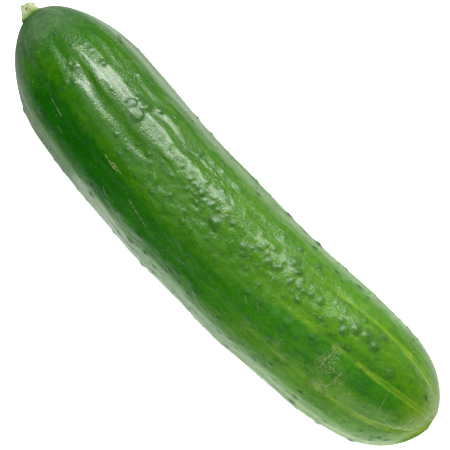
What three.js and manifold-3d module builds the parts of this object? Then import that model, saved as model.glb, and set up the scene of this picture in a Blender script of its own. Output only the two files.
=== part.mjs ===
// A whole fresh cucumber lying on its side, in millimetres.
// X runs along the fruit from the cut stalk to the blossom tip, Z is up, and it rests on z = 0.
// It is two pieces: the fruit, which is one grown body with its ribs, seams and warts,
// and the stub of stalk that it was cut by.

import * as THREE from "three";
import { mergeVertices } from "three/addons/utils/BufferGeometryUtils.js";
import Module from "manifold-3d";

const wasm = await Module();
wasm.setup();

// ---- Driving dimensions of the fruit ----

const stalkEndX = -93.2; // the stalk end, before its seat is cut flat
const blossomEndX = 96.5;
const bodyRadius = 22.7; // at its thickest
const stalkSeatDepth = 0.9; // how much of the stalk end the flat seat takes off
const restingFlatDepth = 0.5; // how far the belly is pressed flat where it lies
const groundSize = [300, 150, 10]; // of the block that cuts it flat
const stalkEndBluntness = 5.15; // superellipse exponents: higher is blunter
const blossomEndBluntness = 6.6;
const shoulderFullness = 1.72;

const bowReach = 90; // the fruit bows sideways, by this depth at this reach from its middle
const bowDepth = 9;
const bowCentreY = -0.9;
const tipHook = 1; // the blossom end leans a little further the same way
const tipHookStartX = 60;
const stalkHook = -2.3; // and the stalk end leans back
const stalkHookStartX = -50;

const tipDimpleDepth = 0.9; // where the blossom fell off
const tipDimpleRadius = 2.4;

// ---- Ribs, seams and waves of the skin ----

// A turn round the fruit is 0 at the top and grows towards +Y.
const seamCount = 10; // over the ten veins
const seamPhase = THREE.MathUtils.degToRad(-7); // the turn of one seam
const seamHalfWidth = THREE.MathUtils.degToRad(5);
const seamDepthAtMiddle = 0.14;
const seamDepthAtTips = 0.5;
const ribHeight = 0.16;
const lobeCount = 3; // over the seed chambers
const lobeHeight = 0.25;
const lobePhase = THREE.MathUtils.degToRad(25);
const waveHeight = 0.12;
const waveLength = 31;
const crossWaveShare = 0.63; // a second, longer train of waves runs across the first
const crossWavePhase = 1;

// Broad swellings and hollows of the sides: x, turn in degrees, half length, spread in degrees, height.
const broadSwellings = [
  [-62, -95, 16, 55, 1.75],
  [12, -95, 16, 55, -0.7],
  [50, -95, 13, 55, -0.8],
  [84, -90, 12, 50, 0.55],
  [-80, 85, 12, 50, -0.3],
  [5, 90, 15, 50, 0.75],
  [75, 80, 14, 50, -0.3],
];

// ---- Warts ----

// The warts of the top and its flanks stand one by one, as x, turn in degrees and radius at the foot.
const shoulderWarts = [
  [-59, 16, 1.1],
  [-63.5, -7, 1],
  [-59, -14, 0.9],
  [-61, -20, 0.8],
  [-60, -25, 0.8],
  [-60.5, -57, 1.1],
  [-53, -59, 0.8],
];
const ringedWarts = [
  [-44, 12, 0.8],
  [-42, 13.5, 0.9],
  [-42.5, 21, 1.2],
  [-37.5, 10.5, 1.7],
  [-38.5, 22, 1.7],
  [-35, 30, 1.1],
  [-37, -12, 0.8],
  [-31.5, -20, 0.8],
  [-25.5, -2, 0.9],
  [-31.5, -62, 1.1],
  [-37, 43, 0.8],
  [-45, 42, 0.8],
];
const middleWarts = [
  [-15.5, 32, 0.9],
  [-4.5, 9, 1.1],
  [0.5, 10, 1],
  [9.5, 11, 1],
  [-9, 2, 0.9],
  [-3.5, 1, 0.8],
  [5.5, 1, 1.5],
  [-8.5, 45, 0.8],
  [-19, -24, 0.8],
  [-2, -18, 0.8],
  [-18.5, -54, 1.1],
  [-9.5, -56, 1.1],
  [-5, -68, 0.9],
  [7, -55, 0.9],
];
const blossomSideWarts = [
  [32, 26, 1.4],
  [32, 21.5, 0.9],
  [35, 19, 1.1],
  [38, 16, 0.8],
  [20.5, 12, 0.8],
  [26, 9, 1],
  [29, 9, 1],
  [17, 3, 1],
  [18.5, -1, 1],
  [22.5, -7, 0.8],
  [35.5, 10, 0.8],
  [40.5, 10, 0.8],
  [41, 2, 0.9],
  [43, 12, 0.8],
  [46.5, 13, 1],
  [50, 2, 0.8],
  [38, 38, 0.9],
  [30, 38, 0.8],
  [15.5, -54, 1.2],
  [61, 27, 0.8],
  [68.5, 27, 1.1],
  [55.5, 13, 0.9],
  [58, 8, 1.2],
  [60.5, 15, 1.5],
  [64.5, 16, 1.7],
  [68.5, 14, 1.5],
  [62.5, -1, 0.8],
  [77, 5, 1.3],
  [56, -18, 0.8],
  [43.5, -24, 0.8],
  [41.5, -37, 0.9],
];
const landmarkWarts = [...shoulderWarts, ...ringedWarts, ...middleWarts, ...blossomSideWarts];

// Those of the sides and the belly are drawn at random.
const drawnFromTurn = THREE.MathUtils.degToRad(52);
const drawnToTurn = THREE.MathUtils.degToRad(290);
const wartSeed = 20261;
const wartStartX = -76;
const wartEndX = 88;
const wartGapNearStalk = 21; // spacing along a rib
const wartGapInField = 11.5;
const wartGapSpread = [0.6, 1.4]; // shares of that spacing
const wartPlaceOnRib = [0.12, 0.88]; // shares of the rib's width
const wartFieldStartX = -34; // from here on the warts stand at their closest
const wartClearance = 4.2; // from a drawn wart to one of those above
const smallWartRadius = 0.8;
const largeWartRadius = 1.7;
const wartSteepness = 0.42; // height for each millimetre of radius
const largeWartFrom = 1.3;
const wartRootDepth = 0.45;
const largeCrown = [
  [0.75, 0.55], // shares of the radius and of the height
  [0.4, 0.9],
];
const smallCrown = [[0.6, 0.75]];

// ---- Driving dimensions of the stalk ----

const stalkLength = 4.4;
const stalkRadius = 1.85;
const stalkFootRadius = 3.6;
const stalkFlareHeight = 2.4; // how fast the foot narrows
const stalkCutFlare = 0.1; // the cut end swells a little
const stalkAngles = 5;
const stalkAngleHeight = 0.09; // share of the radius
const stalkOffset = -0.4; // it stands a little beside the middle of its seat
const stalkLean = 0.1; // sideways at the cut
const stalkCutSlant = 0.55; // the knife went across at a slant
const seatGap = 0.3;

// ---- Mesh fineness ----

const skinSides = 60;
const skinRows = 38;
const stalkSides = 30;
const stalkRows = 10;
const largeWartSides = 6;
const smallWartSides = 5;

// ---- The skin as a formula ----

const middleX = (stalkEndX + blossomEndX) / 2;
const halfLength = (blossomEndX - stalkEndX) / 2;
const stalkSeatX = stalkEndX + stalkSeatDepth;
const spineHeight = bodyRadius - restingFlatDepth;

const tipHookRun = blossomEndX - tipHookStartX;
const stalkHookRun = stalkEndX - stalkHookStartX;

// The spine lies level: a parabola, with another one added to it at each end.
function spineY(x) {
  const tipShare = Math.max(0, (x - tipHookStartX) / tipHookRun);
  const stalkShare = Math.max(0, (x - stalkHookStartX) / stalkHookRun);
  const bow = bowCentreY + bowDepth * (x / bowReach) ** 2;
  return bow + tipHook * tipShare ** 2 + stalkHook * stalkShare ** 2;
}

function spineSlope(x) {
  const tipShare = Math.max(0, (x - tipHookStartX) / tipHookRun);
  const stalkShare = Math.max(0, (x - stalkHookStartX) / stalkHookRun);
  const hooks = (tipHook * tipShare) / tipHookRun + (stalkHook * stalkShare) / stalkHookRun;
  return 2 * ((bowDepth * x) / bowReach ** 2 + hooks);
}

// The plain radius: a superellipse that is a little blunter at the blossom end.
function girth(x) {
  const share = Math.min(1, Math.abs(x - middleX) / halfLength);
  const bluntness = x < middleX ? stalkEndBluntness : blossomEndBluntness;
  return bodyRadius * (1 - share ** bluntness) ** (1 / shoulderFullness);
}

// The angle from the nearest seam, between minus and plus half a rib.
function seamOffset(turn) {
  const rib = (2 * Math.PI) / seamCount;
  const offset = turn - seamPhase;
  return offset - rib * Math.round(offset / rib);
}

// The broad swellings and hollows, each a bell curve along the fruit and round it.
function broadRelief(x, turn) {
  return broadSwellings.reduce((sum, [place, degrees, halfLong, spread, height]) => {
    const apart = turn - THREE.MathUtils.degToRad(degrees);
    const around = Math.atan2(Math.sin(apart), Math.cos(apart)) / THREE.MathUtils.degToRad(spread);
    return sum + height * Math.exp(-(((x - place) / halfLong) ** 2) - around ** 2);
  }, 0);
}

// How far the skin stands out of its plain radius: seed lobes, ribs between sunk seams, slow waves
// and broad swellings.
function relief(x, turn) {
  const share = Math.abs(x - middleX) / halfLength;
  const fullness = girth(x) / bodyRadius;
  const seamDepth = THREE.MathUtils.lerp(seamDepthAtMiddle, seamDepthAtTips, share ** 2);
  const seam = -seamDepth * Math.exp(-((seamOffset(turn) / seamHalfWidth) ** 2));
  const rib = -ribHeight * Math.cos(seamCount * (turn - seamPhase));
  const lobe = lobeHeight * Math.cos(lobeCount * (turn - lobePhase));
  const phase = (2 * Math.PI * x) / waveLength;
  const wave = Math.sin(phase + 2 * turn) + Math.sin(crossWaveShare * phase - 3 * turn + crossWavePhase);
  return fullness * (seam + rib + lobe + waveHeight * wave + broadRelief(x, turn));
}

// The point of the skin at x along the spine and at that turn round it. Sections stand square to the spine.
function skinPoint(x, turn) {
  const seated = Math.max(x, stalkSeatX);
  const plain = girth(x);
  const reach = plain + relief(x, turn);
  const slope = spineSlope(seated);
  const square = 1 / Math.hypot(1, slope);
  const side = reach * Math.sin(turn) * square;
  const dimple = x > middleX ? tipDimpleDepth * Math.exp(-((plain / tipDimpleRadius) ** 2)) : 0;
  return new THREE.Vector3(
    seated - dimple - slope * side,
    spineY(seated) + side,
    spineHeight + reach * Math.cos(turn),
  );
}

function skinNormal(x, turn) {
  const stepX = 0.2;
  const stepTurn = 0.01;
  const along = skinPoint(x + stepX, turn).sub(skinPoint(x - stepX, turn));
  const around = skinPoint(x, turn + stepTurn).sub(skinPoint(x, turn - stepTurn));
  return along.cross(around).normalize();
}

// ---- Solids ----

// A three.js geometry as a manifold-3d solid, with its shared vertices merged.
function solidOf(geometry) {
  const bare = geometry.clone();
  bare.deleteAttribute("normal");
  bare.deleteAttribute("uv");
  const merged = mergeVertices(bare, 1e-5);
  return new wasm.Manifold(
    new wasm.Mesh({
      numProp: 3,
      vertProperties: new Float32Array(merged.getAttribute("position").array),
      triVerts: new Uint32Array(merged.index.array),
    }),
  );
}

function geometryOf(solid) {
  const mesh = solid.getMesh();
  const geometry = new THREE.BufferGeometry();
  geometry.setAttribute("position", new THREE.BufferAttribute(mesh.vertProperties, 3));
  geometry.setIndex(new THREE.BufferAttribute(mesh.triVerts, 1));
  geometry.computeVertexNormals();
  return geometry;
}

// Moves each vertex of a geometry by a rule on its position.
function reshape(geometry, rule) {
  const position = geometry.getAttribute("position");
  const vertex = new THREE.Vector3();
  for (let i = 0; i < position.count; i++) {
    vertex.fromBufferAttribute(position, i);
    position.setXYZ(i, ...rule(vertex));
  }
  return geometry;
}

// The bare skin is a sphere with its poles at the two ends, drawn out along the spine.
function skinSolid() {
  const sphere = new THREE.SphereGeometry(1, skinSides, skinRows);
  sphere.rotateZ(Math.PI / 2);
  sphere.rotateX(-seamPhase);
  return solidOf(
    reshape(sphere, ({ x, y, z }) => skinPoint(middleX + halfLength * x, Math.atan2(y, z))),
  );
}

// Park and Miller's generator, so that every build draws the same warts.
function* draws(seed) {
  let state = seed;
  for (;;) {
    state = (state * 48271) % 2147483647;
    yield state / 2147483647;
  }
}

// True where a drawn wart would crowd one that is placed by hand.
function crowdsLandmark(x, turn) {
  return landmarkWarts.some(([otherX, otherDegrees]) => {
    const apart = turn - THREE.MathUtils.degToRad(otherDegrees);
    const around = girth(x) * Math.atan2(Math.sin(apart), Math.cos(apart));
    return Math.hypot(x - otherX, around) < wartClearance;
  });
}

// Drawn warts stand in loose rows along the ribs, far apart near the stalk and closer beyond it.
function drawnWarts() {
  const stream = draws(wartSeed);
  const draw = ([low, high]) => THREE.MathUtils.lerp(low, high, stream.next().value);
  const ribTurn = (2 * Math.PI) / seamCount;
  const warts = [];
  for (let rib = 0; rib < seamCount; rib++) {
    let x = wartStartX + draw([0, wartGapNearStalk]);
    while (x < wartEndX) {
      const turn = seamPhase + ribTurn * (rib + draw(wartPlaceOnRib));
      const radius = THREE.MathUtils.lerp(smallWartRadius, largeWartRadius, draw([0, 1]) ** 3);
      const nearness = THREE.MathUtils.clamp((x - wartStartX) / (wartFieldStartX - wartStartX), 0, 1);
      const gap = THREE.MathUtils.lerp(wartGapNearStalk, wartGapInField, nearness);
      if (turn > drawnFromTurn && turn < drawnToTurn && !crowdsLandmark(x, turn)) {
        warts.push([x, THREE.MathUtils.radToDeg(turn), radius]);
      }
      x += gap * draw(wartGapSpread);
    }
  }
  return warts;
}

// One wart is a low dome, turned about the skin's normal. Its flank runs straight on down to a sunk root.
function wartSolid([x, degrees, radius]) {
  const turn = THREE.MathUtils.degToRad(degrees);
  const height = wartSteepness * radius;
  const large = radius > largeWartFrom;
  const crown = (large ? largeCrown : smallCrown).map(
    ([across, up]) => new THREE.Vector2(across * radius, up * height),
  );
  const flankRun = (radius - crown[0].x) / crown[0].y;
  const profile = [
    new THREE.Vector2(0, -wartRootDepth),
    new THREE.Vector2(radius + flankRun * wartRootDepth, -wartRootDepth),
    ...crown,
    new THREE.Vector2(0, height),
  ];
  const dome = new THREE.LatheGeometry(profile, large ? largeWartSides : smallWartSides);
  const upright = new THREE.Quaternion().setFromUnitVectors(
    new THREE.Vector3(0, 1, 0),
    skinNormal(x, turn),
  );
  dome.applyQuaternion(upright);
  dome.translate(...skinPoint(x, turn));
  return solidOf(dome);
}

// What lies below the surface that the fruit rests on.
function groundSolid() {
  const ground = new THREE.BoxGeometry(...groundSize);
  ground.translate(0, 0, -groundSize[2] / 2);
  return solidOf(ground);
}

function fruitGeometry() {
  const warts = [...landmarkWarts, ...drawnWarts()].map(wartSolid);
  const wartField = warts.reduce((joined, wart) => joined.add(wart));
  return geometryOf(skinSolid().add(wartField).subtract(groundSolid()));
}

// The stalk is a five-angled post with a spread foot, which leans and is cut off at a slant.
// Its own frame has +Y along the post, away from the fruit, and its foot on y = 0.
function stalkGeometry() {
  const post = new THREE.CylinderGeometry(1, 1, 1, stalkSides, stalkRows);
  return reshape(post, ({ x, y, z }) => {
    const share = y + 0.5;
    const height = stalkLength * share;
    const around = Math.atan2(z, x);
    const flare = (stalkFootRadius - stalkRadius) * Math.exp(-height / stalkFlareHeight);
    const angled = 1 + stalkAngleHeight * Math.cos(stalkAngles * around);
    const radius = (stalkRadius + flare + stalkCutFlare * share ** 3) * angled * Math.hypot(x, z);
    const side = radius * Math.cos(around);
    return [
      side + stalkOffset + stalkLean * share ** 2,
      height - stalkCutSlant * share * (side / stalkRadius),
      radius * Math.sin(around),
    ];
  });
}

// ---- The object ----

const fruitSkin = new THREE.MeshStandardMaterial({ color: 0x3f8020, roughness: 0.38, metalness: 0 });
const stalkSkin = new THREE.MeshStandardMaterial({ color: 0xb9cf83, roughness: 0.6, metalness: 0 });

const fruit = new THREE.Mesh(fruitGeometry(), fruitSkin);
fruit.name = "fruit";

const stalk = new THREE.Mesh(stalkGeometry(), stalkSkin);
stalk.name = "stalk";
const seatSlope = spineSlope(stalkSeatX);
const outwards = new THREE.Vector3(-1, -seatSlope, 0).normalize();
const sideways = new THREE.Vector3(-seatSlope, 1, 0).normalize();
const stalkAxes = new THREE.Matrix4().makeBasis(
  sideways,
  outwards,
  new THREE.Vector3().crossVectors(sideways, outwards),
);
stalk.quaternion.setFromRotationMatrix(stalkAxes);
stalk.position
  .set(stalkSeatX, spineY(stalkSeatX), spineHeight)
  .addScaledVector(outwards, seatGap);

const cucumber = new THREE.Group();
cucumber.name = "cucumber";
cucumber.add(fruit, stalk);

export default cucumber;
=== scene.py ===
"""A whole fresh cucumber lying on a pale floor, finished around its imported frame.

The fruit and its stub of stalk are surfaces worked out with numpy. Lengths are in millimetres
and turns in radians until a mesh is made: a mesh is in metres. X runs along the fruit from the
stalk to the blossom end. A turn round the fruit is 0 at the top and grows towards +Y.
"""

import logging
from collections.abc import Callable, Iterator, Sequence
from dataclasses import dataclass, field
from typing import Any, Union

import bpy
import numpy as np
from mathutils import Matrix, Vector


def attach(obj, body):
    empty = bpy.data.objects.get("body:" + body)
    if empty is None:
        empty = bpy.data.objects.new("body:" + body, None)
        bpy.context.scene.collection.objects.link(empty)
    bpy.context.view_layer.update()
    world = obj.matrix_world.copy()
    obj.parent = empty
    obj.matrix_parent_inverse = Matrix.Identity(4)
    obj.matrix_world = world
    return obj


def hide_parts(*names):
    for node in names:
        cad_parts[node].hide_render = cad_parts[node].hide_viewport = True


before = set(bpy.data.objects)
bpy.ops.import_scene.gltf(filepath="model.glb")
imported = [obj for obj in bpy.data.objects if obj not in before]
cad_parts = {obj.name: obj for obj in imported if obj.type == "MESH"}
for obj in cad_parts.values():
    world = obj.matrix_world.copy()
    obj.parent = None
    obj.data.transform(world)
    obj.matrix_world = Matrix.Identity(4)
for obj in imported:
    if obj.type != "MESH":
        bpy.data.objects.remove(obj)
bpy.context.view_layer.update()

LOG = logging.getLogger("cucumber")
MM = 0.001
BODY = "root"
FRUIT_CENTRE = (0.0, 0.0, 0.02)
FAR = 3.0
FULL_TURN = 2 * np.pi

Array = np.ndarray
Colour = tuple[float, float, float, float]
Term = Union["Value", float]
Place = tuple[float, float]  # An x in mm and a turn in degrees.
Span = tuple[float, float]  # Where a smooth change starts and where it is done.
Noise = tuple[float, ...]  # Waves for each unit of place, finer octaves, and how strong those are.


# ---- Shader maths ----


def operator(operation: str, swapped: bool = False) -> Callable[["Value", Term], "Value"]:
    """Makes the method for one of Python's operators.

    Args:
        operation: The Math node's operation.
        swapped: Whether the other term comes first.

    Returns:
        The method, which adds that node to its shader.
    """

    def method(self: "Value", other: Term) -> "Value":
        """Adds the node."""
        return self.shader.math(operation, *((other, self) if swapped else (self, other)))

    return method


class Value:
    """A socket of numbers. Python's operators on it add Math nodes to its shader."""

    __add__ = __radd__ = operator("ADD")
    __mul__ = __rmul__ = operator("MULTIPLY")
    __sub__ = operator("SUBTRACT")
    __rsub__ = operator("SUBTRACT", swapped=True)

    def __init__(self, shader: "Shader", socket: bpy.types.NodeSocket) -> None:
        """Wraps an output socket of that shader."""
        self.shader = shader
        self.socket = socket

    def __abs__(self) -> "Value":
        """Drops the sign."""
        return self.shader.math("ABSOLUTE", self)

    def clamp(self) -> "Value":
        """Keeps it between 0 and 1."""
        return self.shader.add("ShaderNodeClamp", {}, {"Value": self}, "Result")

    def step(self, low: float, high: float) -> "Value":
        """Rises smoothly from 0 at low to 1 at high, or falls where low is above high."""
        sockets = {"Value": self, "From Min": low, "From Max": high}
        return self.shader.add("ShaderNodeMapRange", {"interpolation_type": "SMOOTHSTEP"}, sockets, "Result")


class Shader:
    """A material under construction."""

    def __init__(self, name: str) -> None:
        """Starts an empty material of that name."""
        self.material = bpy.data.materials.new(name)
        self.material.use_nodes = True
        self.tree = self.material.node_tree
        self.tree.nodes.clear()

    def add(self, kind: str, settings: dict[str, Any], sockets: dict[str, Any], out: str) -> Value:
        """Adds a node.

        Args:
            kind: The node's type.
            settings: Its properties, which are set first.
            sockets: A number, a colour, a vector or a Value for each input, by identifier or name.
            out: The identifier or name of the output that is wanted.

        Returns:
            That output.
        """
        node = self.tree.nodes.new(kind)
        for key, setting in settings.items():
            setattr(node, key, setting)
        for key, term in sockets.items():
            socket = self._find(node.inputs, key)
            if isinstance(term, Value):
                self.tree.links.new(term.socket, socket)
            else:
                socket.default_value = term
        return Value(self, self._find(node.outputs, out))

    @staticmethod
    def _find(sockets: Any, key: str) -> bpy.types.NodeSocket:
        """Finds a socket by its identifier, or else by its name."""
        matches = [socket for socket in sockets if socket.identifier == key]
        return matches[0] if matches else sockets[key]

    def math(self, operation: str, *terms: Term) -> Value:
        """Adds a Math node."""
        sockets = dict(zip(("Value", "Value_001"), terms))
        return self.add("ShaderNodeMath", {"operation": operation}, sockets, "Value")

    def vector_math(self, operation: str, *terms: Any, out: str = "Vector") -> Value:
        """Adds a Vector Math node, whose terms are Values or three numbers and whose output is out."""
        sockets = dict(zip(("Vector", "Vector_001"), terms))
        return self.add("ShaderNodeVectorMath", {"operation": operation}, sockets, out)

    def apart(self, first: Value, second: tuple[float, ...]) -> Value:
        """The distance of a place from a fixed one."""
        return self.vector_math("LENGTH", self.vector_math("SUBTRACT", first, second), out="Value")

    def mix(self, share: Term, first: Any, second: Any, way: str = "MIX") -> Value:
        """Blends two colours the given way, with that share of the second one."""
        sockets = {"Factor_Float": share, "A_Color": first, "B_Color": second}
        return self.add("ShaderNodeMix", {"data_type": "RGBA", "blend_type": way}, sockets, "Result_Color")

    def attribute(self, name: str, out: str = "Fac") -> Value:
        """Reads one of the mesh's own attributes."""
        return self.add("ShaderNodeAttribute", {"attribute_name": name}, {}, out)

    def axis(self, vector: Value, name: str) -> Value:
        """Takes the X, Y or Z of a vector."""
        return self.add("ShaderNodeSeparateXYZ", {}, {"Vector": vector}, name)

    def noise(self, place: Value, scale: float, detail: float = 2.0, roughness: float = 0.5) -> Value:
        """Smooth noise about one half: waves for each unit of place, finer octaves and their strength."""
        sockets = {"Vector": place, "Scale": scale, "Detail": detail, "Roughness": roughness}
        return self.add("ShaderNodeTexNoise", {}, sockets, "Fac")

    def specks(self, place: Value, scale: float, radius: float, share: float) -> Value:
        """Round specks at random, at most one in each cell.

        Args:
            place: Where to read them.
            scale: Cells for each unit of place.
            radius: A speck's radius, in cells.
            share: The share of the cells that has one.

        Returns:
            1 in a speck and 0 outside.
        """
        sockets = {"Vector": place, "Scale": scale}
        distance = self.add("ShaderNodeTexVoronoi", {}, sockets, "Distance")
        lot = self.axis(self.add("ShaderNodeTexVoronoi", {}, sockets, "Color"), "X")
        return distance.step(radius, 0.5 * radius) * lot.step(1 - share, 1 - 0.8 * share)

    def bump(self, height: Value, distance: float, strength: float) -> Value:
        """Turns heights into a normal. A height of 1 stands out by the distance, in metres."""
        sockets = {"Height": height, "Distance": distance, "Strength": strength}
        return self.add("ShaderNodeBump", {}, sockets, "Normal")

    def finish(self, **sockets: Any) -> bpy.types.Material:
        """Ends the material in one Principled BSDF.

        Args:
            **sockets: Its inputs, with _ for a space in each name.

        Returns:
            The material.
        """
        named = {name.replace("_", " "): term for name, term in sockets.items()}
        surface = self.add("ShaderNodeBsdfPrincipled", {}, named, "BSDF")
        output = self.tree.nodes.new("ShaderNodeOutputMaterial")
        self.tree.links.new(surface.socket, output.inputs["Surface"])
        return self.material


def rgb(red: float, green: float, blue: float) -> Colour:
    """A linear colour, from reflectances in percent."""
    return (red / 100, green / 100, blue / 100, 1.0)


# ---- Surfaces ----


def closed_tube(
    name: str, poles: Sequence[Any], rings: Array, around: Array, attributes: dict[str, Array]
) -> bpy.types.Object:
    """Makes a mesh of rings that are joined in order and closed by a pole at each end.

    Args:
        name: The piece's name.
        poles: The points before the first ring and after the last one, in mm.
        rings: Points in mm, as (ring, side, 3). Seen along the rings' order, the sides run so that
            along cross around points out.
        around: Each side's share of a turn, from 0 up.
        attributes: Numbers or vectors for each vertex, poles included.

    Returns:
        The new object. Its UV map "skin" holds the share of a turn and the ring's share of the length.
    """
    count, sides = rings.shape[:2]
    points = with_poles(rings, *poles) * MM
    ring, side = np.meshgrid(np.arange(count - 1), np.arange(sides), indexing="ij")
    rows, columns = ring[..., None] + [0, 1, 1, 0], side[..., None] + [0, 0, 1, 1]
    quads = (1 + rows * sides + columns % sides).reshape(-1, 4)
    column = np.arange(sides)
    beyond = (column + 1) % sides
    last_row = 1 + (count - 1) * sides
    start = np.stack([0 * column, 1 + column, 1 + beyond], -1)
    end = np.stack([last_row + column, 0 * column + len(points) - 1, last_row + beyond], -1)

    mesh = bpy.data.meshes.new(name)
    mesh.from_pydata(points, [], [*start.tolist(), *quads.tolist(), *end.tolist()])
    mesh.polygons.foreach_set("use_smooth", np.ones(len(mesh.polygons), dtype=bool))

    edges = np.append(around, 1.0)
    low, high = edges[:-1], edges[1:]
    middle = (low + high) / 2
    corners = (
        np.stack([np.stack([middle, low, high], -1), np.zeros((sides, 3))], -1),
        np.stack([edges[columns], rows / count], -1),
        np.stack([np.stack([low, middle, high], -1), np.ones((sides, 3))], -1),
    )
    uvs = np.concatenate([corner.reshape(-1) for corner in corners]).astype(np.float32)
    mesh.uv_layers.new(name="skin").data.foreach_set("uv", uvs)

    for key, numbers in attributes.items():
        vector = numbers.ndim == 2
        layer = mesh.attributes.new(key, "FLOAT_VECTOR" if vector else "FLOAT", "POINT")
        layer.data.foreach_set("vector" if vector else "value", numbers.astype(np.float32).ravel())
    mesh.update()
    piece = bpy.data.objects.new(name, mesh)
    bpy.context.collection.objects.link(piece)
    return piece


def with_poles(rings: Array, first: Any, last: Any) -> Array:
    """One row for each vertex of a closed tube: its rings, between the rows of its two poles."""
    rows = (-1, *rings.shape[2:])
    return np.concatenate([np.reshape(part, rows) for part in (first, rings, last)])


def unit(vectors: Array) -> Array:
    """Vectors of length 1."""
    return vectors / np.linalg.norm(vectors, axis=-1, keepdims=True)


def wrapped(turn: Array) -> Array:
    """Turns from half a turn back to half a turn on."""
    return np.arctan2(np.sin(turn), np.cos(turn))


def ease(low: float, high: float, numbers: Array) -> Array:
    """A smooth step, from 0 at low to 1 at high."""
    share = np.clip((numbers - low) / (high - low), 0, 1)
    return share * share * (3 - 2 * share)


def bell(numbers: Array, centre: float, spread: float) -> Array:
    """A bell curve of height 1, which falls to 1/e at that spread from the centre."""
    return np.exp(-(((numbers - centre) / spread) ** 2))


# ---- The fruit's form ----


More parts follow.
